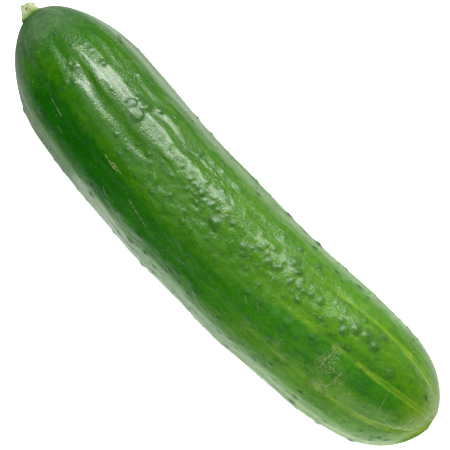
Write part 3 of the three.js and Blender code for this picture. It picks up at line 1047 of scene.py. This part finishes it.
@dataclass
class Stalk:
    """The cut stub of stalk: a five-angled post with a spread foot, which leans and is cut at a slant."""

    form: Form = field(default_factory=Form)
    length: float = 4.2
    radius: float = 1.85
    foot_radius: float = 4.4
    flare_height: float = 2.0
    cut_flare: float = 0.1
    angles: int = 5
    angle_height: float = 0.09
    offset: float = -0.5
    lean: float = 0.8
    slant: float = 0.55
    seat_gap: float = 0.3
    sunk: float = 0.55
    fibres: int = 35
    fibre_height: float = 0.05
    pith_depth: float = 0.5
    pith_edge: Span = (0.15, 0.6)
    ragged_height: float = 0.07
    strands: int = 10
    strand_height: float = 0.1
    strand_place: float = 0.72
    strand_spread: float = 0.12
    knife_height: float = 0.05
    sides: int = 140
    rows: int = 60
    cut_rings: int = 26

    def build(self) -> bpy.types.Object:
        """Works out the post and its cut face, and makes the mesh.

        Returns:
            The stalk.
        """
        around = np.linspace(0, FULL_TURN, self.sides, endpoint=False)[None]
        side_share = np.linspace(-self.sunk / self.length, 1, self.rows)[:, None]
        wall = self.post(side_share, around, 1.0)
        inner = (1 - np.arange(1, self.cut_rings) / self.cut_rings)[:, None]
        cut = self.post(np.ones_like(inner), around, inner)
        cut[..., 1] += self.cut_relief(inner, around)
        rings = np.concatenate([wall, cut])
        poles = [self.post(share, around[:, :1], 0.0)[0, 0] for share in (side_share[:1], np.ones((1, 1)))]
        place = np.concatenate([np.repeat(side_share, self.sides, 1), np.ones((len(inner), self.sides))])
        cut_place = np.concatenate([np.ones((self.rows, self.sides)), np.repeat(inner, self.sides, 1)])
        attributes = {
            "height": with_poles(place, side_share[0], 1),
            "cut": with_poles(cut_place, 1, 0),
            "own": with_poles(rings, *poles),
        }
        poles = [self.seated(pole) for pole in poles]
        return closed_tube("stalk_stub", poles, self.seated(rings), around[0] / FULL_TURN, attributes)

    def post(self, share: Array, around: Array, inward: Any) -> Array:
        """The post in its own frame, with +Y along it.

        Its radius is the plain one, plus a foot that dies away as exp(-height / flare height), plus a
        swelling at the cut. Five angles and many fine fibres are cosines of the angle round it.

        Args:
            share: How far up the post.
            around: The angle round it.
            inward: The share of the radius.

        Returns:
            Points.
        """
        height = self.length * share
        up = np.maximum(share, 0)
        flare = (self.foot_radius - self.radius) * np.exp(-self.length * up / self.flare_height)
        angled = 1 + self.angle_height * np.cos(self.angles * around)
        twist = 0.7 * share + 0.2 * np.sin(5 * share)
        fibre = self.fibre_height * np.cos(self.fibres * around + 3 * np.sin(2 * around) + 4 * twist)
        radius = ((self.radius + flare + self.cut_flare * up**3) * angled + fibre) * inward
        side = radius * np.cos(around)
        lean = self.offset + self.lean * up**2
        tilt = self.slant * up * side / self.radius
        return np.stack(np.broadcast_arrays(side + lean, height - tilt, radius * np.sin(around)), -1)

    def cut_relief(self, inward: Array, around: Array) -> Array:
        """The cut face: a ragged sunk pith inside a ring of standing fibres.

        Args:
            inward: The share of the radius.
            around: The angle round the stalk.

        Returns:
            Heights.
        """
        pith = -self.pith_depth * (1 - ease(*self.pith_edge, inward))
        ragged = self.ragged_height * np.sin(7 * around + 9 * inward) * ease(0.1, 0.5, inward)
        strands = self.strand_height * np.cos(self.strands * around)
        strands = strands * bell(inward, self.strand_place, self.strand_spread)
        knife = self.knife_height * np.sin(14 * inward * np.sin(around + 0.5))
        return pith + ragged + strands + knife

    def seated(self, points: Array) -> Array:
        """Turns the post's own frame to stand on the fruit's seat.

        Args:
            points: Points in the post's own frame.

        Returns:
            The same points on the fruit.
        """
        form = self.form
        slope = float(form.slope(np.array(form.seat)))
        outwards = unit(np.array([-1.0, -slope, 0.0]))
        sideways = unit(np.array([-slope, 1.0, 0.0]))
        axes = np.stack([sideways, outwards, np.cross(sideways, outwards)])
        foot = np.array([form.seat, float(form.spine(np.array(form.seat))), form.height])
        return points @ axes + foot + self.seat_gap * outwards

    def dress(self, piece: bpy.types.Object) -> None:
        """Gives the stalk its finish and its place in the frame.

        Args:
            piece: The stalk.
        """
        piece.data.materials.append(StalkFinish().material())
        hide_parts("stalk")
        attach(piece, BODY)


# ---- Finishes ----


@dataclass(frozen=True)
class SkinShader:
    """What the skin's masks read: the shader, places on the straightened fruit in mm, and their x."""

    shader: Shader
    straight: Value
    x: Value

    def noise(self, noise: Noise) -> Value:
        """Noise over the skin."""
        return self.shader.noise(self.straight, *noise)

    def stretched(self, along: float, noise: Noise) -> Value:
        """Noise that is squeezed along the fruit by that factor."""
        place = self.shader.vector_math("MULTIPLY", self.straight, (along, 1.0, 1.0))
        return self.shader.noise(place, *noise)


@dataclass(frozen=True)
class SkinFinish:
    """Waxy green skin: greyer at the stalk, yellower at the blossom end, with pale seams and specks, and with
    painted light and painted shade on its sides, round its warts and in its creases.

    A span is of x in mm, unless its name says otherwise.
    """

    form: Form
    shoulder: Colour = rgb(1.6, 12, 0.3)
    deep: Colour = rgb(2.6, 15.5, 0.2)
    middle: Colour = rgb(3.8, 18.5, 0.2)
    blossom: Colour = rgb(8.4, 28.5, 0.25)
    blossom_tip: Colour = rgb(18, 38, 1.5)
    bloom: Colour = rgb(6, 13.5, 5)
    seam: Colour = rgb(31, 52, 1.8)
    speck: Colour = rgb(34, 46, 12)
    cork: Colour = rgb(36, 36, 12)
    wart_green_and_shade: Colour = rgb(1.4, 10, 0.6)
    shaded_stalk_green: Colour = rgb(0.7, 11.5, 0.1)
    shaded_blossom_green: Colour = rgb(3.9, 22, 0.15)
    lit_stalk_green: Colour = rgb(3.6, 15.5, 0.2)
    lit_blossom_green: Colour = rgb(8, 26.5, 0.2)
    tan: Colour = rgb(46, 48, 22)
    olive_place: Place = (-70.0, -42.0)
    olive_radii: Span = (11, 3)
    deep_start: Span = (-92, -55)
    middle_start: Span = (-60, 5)
    blossom_start: Span = (5, 72)
    tip_start: Span = (84, 96)
    bloom_start: Span = (-72, -90)
    lit_side_start: Span = (-84, -56)
    lit_tones: Span = (-60, 60)
    shade_band_start: Span = (-80, -62)
    shade_band_end: Span = (92, 80)
    shade_tones: Span = (-50, 70)
    shade_band_half_width_in_degrees: Span = (19, 11)
    spots_near_stalk: Span = (-50, -80)
    specks_near_stalk: Span = (-45, -75)
    seams_start: Span = (8, 80)
    seam_lines_start: Span = (68, 84)
    grain_start: Span = (-50, 0)
    matt_stalk: Span = (-66, -88)
    wax_start: Span = (-88, -66)
    wax_end: Span = (-30, 40)
    cork_radii: Span = (3.6, 2.0)
    crease_shade_distances: Span = (0.55, 0.15)
    dome_heights: Span = (17, 9)
    grain: Noise = (0.8, 3.0, 0.55)
    fine_grain: Noise = (1.5, 2.0, 0.6)
    gloss: Noise = (0.35,)
    patches: Noise = (0.09, 3.0, 0.55)
    streaks: Noise = (0.6, 3.0, 0.6)
    blotches: Noise = (0.42, 3.0, 0.6)
    fine_spots: Noise = (1.7, 3.0, 0.65)
    rib_edges: Noise = (0.16, 3.0, 0.6)
    seam_edges: Noise = (0.5, 2.0)
    seam_patches: Noise = (0.2, 2.0)
    seam_gaps: Noise = (0.13, 2.0)
    mark_gaps: Noise = (1.3, 2.0)
    scuffing: Noise = (1.8, 3.0, 0.7)

    def material(self) -> bpy.types.Material:
        """Builds the shader.

        Returns:
            The material.
        """
        shader = Shader("waxy_skin")
        straight = shader.attribute("straight", "Vector")
        x = shader.axis(straight, "X")
        skin = SkinShader(shader, straight, x)
        wart, pimple = shader.attribute("near_wart"), shader.attribute("near_pimple")
        colour = self.ground_colour(skin)
        colour = shader.mix(self.seam_mask(skin), colour, self.seam)
        colour = shader.mix(self.speck_mask(skin), colour, self.speck)
        marks = self.mark_mask(skin)
        # Scratches and scuffs in pale tan, with two painted glints.
        colour = shader.mix(marks, colour, self.tan)

        # Painted shade: a darker ring round the foot of each wart and pimple. The domes themselves are a
        # darker green, more so lower on the sides.
        ring = wart.step(0.7, 1.15) * wart.step(1.9, 1.3)
        ring = ring + 0.6 * pimple.step(0.7, 1.1) * pimple.step(1.8, 1.2)
        dome = wart.step(1.2, 0.6) + 0.9 * pimple.step(1.1, 0.5)
        dome = dome * (0.33 + 0.6 * shader.axis(straight, "Z").step(*self.dome_heights))
        colour = shader.mix((0.4 * ring + dome).clamp(), colour, self.wart_green_and_shade)
        # Painted shade: the creases round the large warts are darkened, more on one side, and made matt.
        crease_shade = shader.attribute("crease_shade", "Vector")
        crease_shade = shader.axis(crease_shade, "Y") * abs(shader.axis(crease_shade, "X")).step(*self.crease_shade_distances)
        colour = shader.mix(crease_shade * 0.8, colour, self.shaded_stalk_green)
        tip = shader.apart(straight, (self.form.blossom_end, 0.0, 0.0))
        colour = shader.mix(tip.step(*self.cork_radii) * 0.75, colour, self.cork)

        grained = x.step(*self.grain_start)
        matt = 0.05 * grained + 0.14 * wart.step(1.3, 0.6) + 0.14 * ring + 0.35 * crease_shade
        roughness = 0.15 + 0.1 * skin.noise(self.gloss) + 0.22 * x.step(*self.matt_stalk) + matt
        domes = wart.step(1.25, 0.4) + 0.45 * pimple.step(1.3, 0.3)
        grain = 1.6 * (0.3 + 0.7 * grained) * skin.stretched(0.6, self.grain)
        relief = 0.25 * domes + grain + 0.8 * skin.noise(self.fine_grain) - 0.3 * marks
        normal = shader.bump(relief, 0.2 * MM, 0.8)
        wax = ((0.4 * x.step(*self.wax_start) - 0.2 * x.step(*self.wax_end)) * (1 - crease_shade)).clamp()
        coat = {"Coat_Weight": wax, "Coat_Roughness": 0.12}
        return shader.finish(Base_Color=colour, Roughness=roughness, Normal=normal, IOR=1.5, **coat)

    def ground_colour(self, skin: SkinShader) -> Value:
        """The skin's green, from the stalk's bloom to the blossom's yellower tone, with painted light on the
        lit side and painted shade along a rib below it.

        Args:
            skin: The skin's shader.

        Returns:
            The colour.
        """
        mix, x = skin.shader.mix, skin.x
        patches = skin.noise(self.patches)
        colour = mix(x.step(*self.deep_start), self.shoulder, self.deep)
        colour = mix(x.step(*self.middle_start), colour, self.middle)
        colour = mix(x.step(*self.blossom_start), colour, self.blossom)
        lit_side_and_olive, shade_band = self.lit_and_shaded_sides(skin)
        # Painted light on the lit side, then painted shade along a rib on the shaded side.
        colour = mix(lit_side_and_olive, colour, mix(x.step(*self.lit_tones), self.lit_stalk_green, self.lit_blossom_green))
        colour = mix(shade_band, colour, mix(x.step(*self.shade_tones), self.shaded_stalk_green, self.shaded_blossom_green))
        colour = mix(x.step(*self.tip_start), colour, self.blossom_tip)
        colour = mix(x.step(*self.bloom_start) * patches.step(0.35, 0.6) * 0.8, colour, self.bloom)
        near_stalk = x.step(*self.spots_near_stalk)
        spots = (0.9 + 0.9 * near_stalk) * (skin.noise(self.fine_spots) - 0.5)
        spots = spots + (0.5 + 0.6 * near_stalk) * (skin.noise(self.blotches) - 0.5)
        shade = 0.47 + 0.5 * patches + 0.6 * skin.stretched(0.12, self.streaks) + spots
        shades = {"X": shade * shade, "Y": shade, "Z": shade}
        return mix(1.0, colour, skin.shader.add("ShaderNodeCombineXYZ", {}, shades, "Vector"), "MULTIPLY")

    def lit_and_shaded_sides(self, skin: SkinShader) -> tuple[Value, Value]:
        """Painted light and shade: the skin is painted yellower and lighter on the lit side, with an olive
        patch near the stalk, and painted darker along one rib on the shaded side below it.

        Args:
            skin: The skin's shader.

        Returns:
            How much painted light, with the olive patch, and how much painted shade.
        """
        shader, x = skin.shader, skin.x
        turn = shader.math("ARCTAN2", shader.axis(skin.straight, "Y"), shader.axis(skin.straight, "Z"))
        uneven = turn * (360 / FULL_TURN) + 16 * (skin.noise(self.rib_edges) - 0.5)
        # Painted light: the side that faces the key lamps is painted yellower and lighter.
        lit_side_and_olive = (0.35 + 0.65 * uneven.step(-14, 14)) * uneven.step(-36, -20) * uneven.step(120, 80)
        # Painted shade: a dark band along one rib on the shaded side.
        centre = -46 + 32 * x.step(-8, 76)
        shade_band = abs(uneven - centre).step(*self.shade_band_half_width_in_degrees)
        olive = shader.apart(skin.straight, tuple(self.form.on_skin(*self.olive_place)))
        olive = olive.step(*self.olive_radii) * 0.7
        lit_side_and_olive = (lit_side_and_olive * x.step(*self.lit_side_start) + olive).clamp()
        return lit_side_and_olive, shade_band * x.step(*self.shade_band_end) * x.step(*self.shade_band_start)

    def seam_mask(self, skin: SkinShader) -> Value:
        """Two pale lines beside each seam and a paler band round them, which fade towards the middle.

        Args:
            skin: The skin's shader.

        Returns:
            How pale the skin is.
        """
        shader = skin.shader
        share = shader.axis(shader.add("ShaderNodeUVMap", {"uv_map": "skin"}, {}, "UV"), "X")
        cell = shader.math("FRACT", share * float(self.form.seams) + 0.5)
        radial = shader.vector_math("MULTIPLY", skin.straight, (0.0, 1.0, 1.0))
        reach = shader.vector_math("LENGTH", radial, out="Value")
        distance = abs(cell - 0.5) * (FULL_TURN / self.form.seams) * reach
        uneven = distance + 0.6 * (skin.noise(self.seam_edges) - 0.5)
        lines = uneven.step(0.45, 0.65) * uneven.step(1.0, 0.8)
        band = uneven.step(1.25, 0.1)
        patchy = skin.noise(self.seam_patches).step(0.35, 0.6)
        near_tip = skin.x.step(*self.seam_lines_start)
        middle = skin.x.step(*self.seams_start) * (0.28 + 0.38 * patchy) - 0.12 * near_tip
        fading = 0.6 + 0.4 * skin.noise(self.seam_gaps).step(0.38, 0.6)
        return (fading * (0.75 * near_tip * lines + middle * band)).clamp()

    def mark_mask(self, skin: SkinShader) -> Value:
        """Scratches and fine lines, broken up, the scuffed places and two painted glints.

        Args:
            skin: The skin's shader.

        Returns:
            How much of a mark there is.
        """
        shader = skin.shader
        mark = shader.attribute("mark", "Vector")
        across, along = abs(shader.axis(mark, "X")), abs(shader.axis(mark, "Y"))
        lines = shader.axis(mark, "Z") * across.step(1.0, 0.3) * along.step(1.1, 0.8)
        lines = lines * skin.noise(self.mark_gaps).step(0.35, 0.55)
        scuffs_and_glints = shader.attribute("scuff_and_glint") * skin.noise(self.scuffing).step(0.48, 0.64)
        return (lines + scuffs_and_glints).clamp()

    def speck_mask(self, skin: SkinShader) -> Value:
        """Small pale specks, more of them near the stalk.

        Args:
            skin: The skin's shader.

        Returns:
            How pale the skin is.
        """
        small = skin.shader.specks(skin.straight, 0.62, 0.2, 0.3)
        tiny = skin.shader.specks(skin.straight, 1.3, 0.24, 0.25)
        near_stalk = skin.x.step(*self.specks_near_stalk)
        return small * (0.15 + 0.45 * near_stalk) + tiny * (0.2 + 0.2 * near_stalk)


@dataclass(frozen=True)
class StalkFinish:
    """Pale dry stalk, with a whitish streak, brown specks and a browned cut."""

    pale: Colour = rgb(36, 45, 14)
    green: Colour = rgb(19, 33, 5.5)
    white: Colour = rgb(54, 62, 40)
    brown: Colour = rgb(12, 8, 3)
    knot: Colour = rgb(9, 20, 1)
    knot_place: tuple[float, float, float] = (-0.8, 2.4, 2.3)
    knot_radii: Span = (0.8, 0.35)
    green_foot: Span = (0.5, 0.0)
    streaks: Noise = (2.4, 3.0, 0.6)
    blotches: Noise = (1.6, 3.0, 0.6)
    grain: Noise = (5.0, 4.0, 0.6)

    def material(self) -> bpy.types.Material:
        """Builds the shader.

        Returns:
            The material.
        """
        shader = Shader("dry_stalk")
        own = shader.attribute("own", "Vector")
        height, cut = shader.attribute("height"), shader.attribute("cut")
        fibre = shader.noise(shader.vector_math("MULTIPLY", own, (1.0, 0.15, 1.0)), *self.streaks)
        colour = shader.mix(fibre.step(0.4, 0.62), self.pale, self.white)
        colour = shader.mix(height.step(*self.green_foot) * 0.9, colour, self.green)
        colour = shader.mix(shader.specks(own, 0.8, 0.42, 0.4) * 0.6, colour, self.brown)
        knot = shader.apart(own, self.knot_place)
        colour = shader.mix(knot.step(*self.knot_radii) * 0.85, colour, self.knot)
        edge = height.step(0.9, 1.0) * cut.step(0.8, 1.0)
        blotch = shader.noise(own, *self.blotches).step(0.5, 0.62)
        colour = shader.mix(edge * blotch * 0.8, colour, self.brown)
        colour = shader.mix(cut.step(0.5, 0.1) * 0.5, colour, self.brown)
        grain = shader.noise(own, *self.grain)
        normal = shader.bump(grain, 0.15 * MM, 0.6)
        return shader.finish(Base_Color=colour, Roughness=0.55 + 0.2 * grain, Normal=normal)


@dataclass(frozen=True)
class FloorFinish:
    """Matt white that glows a little, as a floor lit from below."""

    white: Colour = rgb(80, 80, 80)
    glow: Colour = rgb(100, 100, 100)

    def material(self) -> bpy.types.Material:
        """Builds the shader."""
        glow = {"Emission_Color": self.glow, "Emission_Strength": 1.0}
        return Shader("plain_floor").finish(Base_Color=self.white, Roughness=0.9, **glow)


# ---- The studio ----


def direction(azimuth: float, elevation: float) -> Vector:
    """The way to a place in the room.

    Args:
        azimuth: Its angle from +X towards +Y, in degrees.
        elevation: Its angle up from the floor, in degrees.

    Returns:
        A vector of length 1.
    """
    azimuth, elevation = np.radians([azimuth, elevation])
    level = np.cos(elevation)
    return Vector((np.cos(azimuth) * level, np.sin(azimuth) * level, np.sin(elevation)))


def place_lamp(
    name: str, place: Vector, facing: Vector, size: tuple[float, float], radiance: float
) -> bpy.types.Object:
    """Adds an oblong lamp that no camera sees.

    Args:
        name: Its name.
        place: Its centre.
        facing: Where its front points.
        size: Its width and height.
        radiance: The brightness of its front, where 1 shows as white.

    Returns:
        The lamp.
    """
    lamp = bpy.data.lights.new(name, "AREA")
    lamp.shape = "RECTANGLE"
    lamp.size, lamp.size_y = size
    lamp.energy = radiance * np.pi * size[0] * size[1]
    holder = bpy.data.objects.new(name, lamp)
    holder.location = place
    holder.rotation_euler = facing.to_track_quat("-Z", "Y").to_euler()
    holder.visible_camera = False
    bpy.context.collection.objects.link(holder)
    return holder


@dataclass(frozen=True)
class Softbox:
    """A lamp with a flat front, which hangs round the fruit and faces it."""

    name: str
    azimuth: float
    elevation: float
    size: tuple[float, float]
    radiance: float
    distance: float = 0.7
    mirrored: bool = True

    def hang(self) -> None:
        """Adds the lamp. Where it isn't mirrored, the wax doesn't reflect it."""
        away = direction(self.azimuth, self.elevation)
        place = away * self.distance + Vector(FRUIT_CENTRE)
        place_lamp(self.name, place, -away, self.size, self.radiance).visible_glossy = self.mirrored


@dataclass(frozen=True)
class GlowPanel:
    """A lamp that lies on the floor and faces up. It shows only in what the wax reflects."""

    name: str
    centre: tuple[float, float]
    size: tuple[float, float]
    radiance: float
    height: float = 0.1 * MM

    def lay(self) -> None:
        """Adds the lamp."""
        place = Vector((*self.centre, self.height))
        place_lamp(self.name, place, Vector((0, 0, 1)), self.size, self.radiance).visible_diffuse = False


@dataclass(frozen=True)
class Studio:
    """The floor, the room's light and the camera, in metres."""

    softboxes: tuple[Softbox, ...] = (
        Softbox("key_softbox", 150, 52, (0.22, 0.22), 13.5),
        Softbox("second_key_softbox", 122, 52, (0.24, 0.24), 4.0),
        Softbox("low_key_softbox", 116, 36, (0.32, 0.2), 10.0),
        Softbox("overhead_left_softbox", 180, 64, (0.3, 0.44), 0.7),
        Softbox("left_end_softbox", 165, 12, (0.7, 0.28), 0.8),
        Softbox("back_softbox", 75, 20, (0.9, 0.45), 0.3),
        Softbox("back_right_softbox", 45, 60, (0.5, 0.35), 0.35),
        Softbox("right_end_softbox", 5, 20, (0.35, 0.45), 0.2),
        Softbox("front_right_softbox", 315, 12, (0.6, 0.28), 1.2),
        Softbox("front_softbox", 235, 66, (0.3, 0.3), 0.4),
        Softbox("overhead_front_softbox", 315, 72, (0.22, 0.22), 0.2),
        Softbox("fill_softbox", 300, 48, (0.6, 0.6), 1.6, mirrored=False),
    )
    panels: tuple[GlowPanel, ...] = (
        GlowPanel("near_panel", (0.04, -0.05), (0.18, 0.09), 1.15),
        GlowPanel("near_stalk_panel", (-0.1, -0.05), (0.1, 0.09), 0.5),
        GlowPanel("far_front_panel", (0.0, -0.5), (0.26, 0.6), 1.3),
        GlowPanel("back_panel", (0.0, 0.09), (0.26, 0.14), 0.8),
        GlowPanel("blossom_panel", (0.165, 0.0), (0.07, 0.8), 1.5),
        GlowPanel("stalk_panel", (-0.275, 0.0), (0.15, 0.8), 0.5),
    )
    room: Colour = (0.8, 0.8, 0.8, 1.0)
    floor_size: float = 3.0
    floor_gap: float = 0.02 * MM
    azimuth: float = -42.58
    elevation: float = 77.0
    distance: float = 0.6
    target: tuple[float, float, float] = (0.00404, 0.00487, 0.022)
    lens: float = 146.8
    clip: Span = (0.01, 20)

    def build(self) -> None:
        """Lays the floor and the panels, hangs the lamps and sets up the camera and the room."""
        self.lay_floor()
        for softbox in self.softboxes:
            softbox.hang()
        for panel in self.panels:
            panel.lay()
        self.place_camera()
        self.surround()
        bpy.context.scene.view_settings.view_transform = "Standard"

    def surround(self) -> None:
        """Gives the room pale walls that only a camera sees, so that they light nothing."""
        world = bpy.data.worlds.new("room")
        world.use_nodes = True
        world.node_tree.nodes["Background"].inputs["Color"].default_value = self.room
        world.cycles_visibility.diffuse = False
        world.cycles_visibility.glossy = False
        bpy.context.scene.world = world

    def lay_floor(self) -> None:
        """Adds the floor, just under the fruit."""
        half = self.floor_size / 2
        sides = ((-half, -half), (half, -half), (half, half), (-half, half))
        mesh = bpy.data.meshes.new("floor")
        mesh.from_pydata([(*side, -self.floor_gap) for side in sides], [], [(0, 1, 2, 3)])
        floor = bpy.data.objects.new("floor", mesh)
        floor.visible_glossy = False
        floor.data.materials.append(FloorFinish().material())
        bpy.context.collection.objects.link(floor)

    def place_camera(self) -> None:
        """Points the camera down at the fruit."""
        back = direction(self.azimuth, self.elevation)
        lens = bpy.data.cameras.new("camera")
        lens.lens = self.lens
        lens.clip_start, lens.clip_end = self.clip
        camera = bpy.data.objects.new("camera", lens)
        camera.location = Vector(self.target) + self.distance * back
        camera.rotation_euler = (-back).to_track_quat("-Z", "Y").to_euler()
        bpy.context.collection.objects.link(camera)
        bpy.context.scene.camera = camera


def main() -> None:
    """Builds the cucumber and its studio, and logs each piece's count of vertices and faces."""
    logging.basicConfig(level=logging.INFO, format="%(message)s")
    Studio().build()
    for part in (Fruit(), Stalk()):
        piece = part.build()
        part.dress(piece)
        LOG.info("%s: %d vertices, %d faces", piece.name, len(piece.data.vertices), len(piece.data.polygons))


if __name__ == "__main__":
    main()
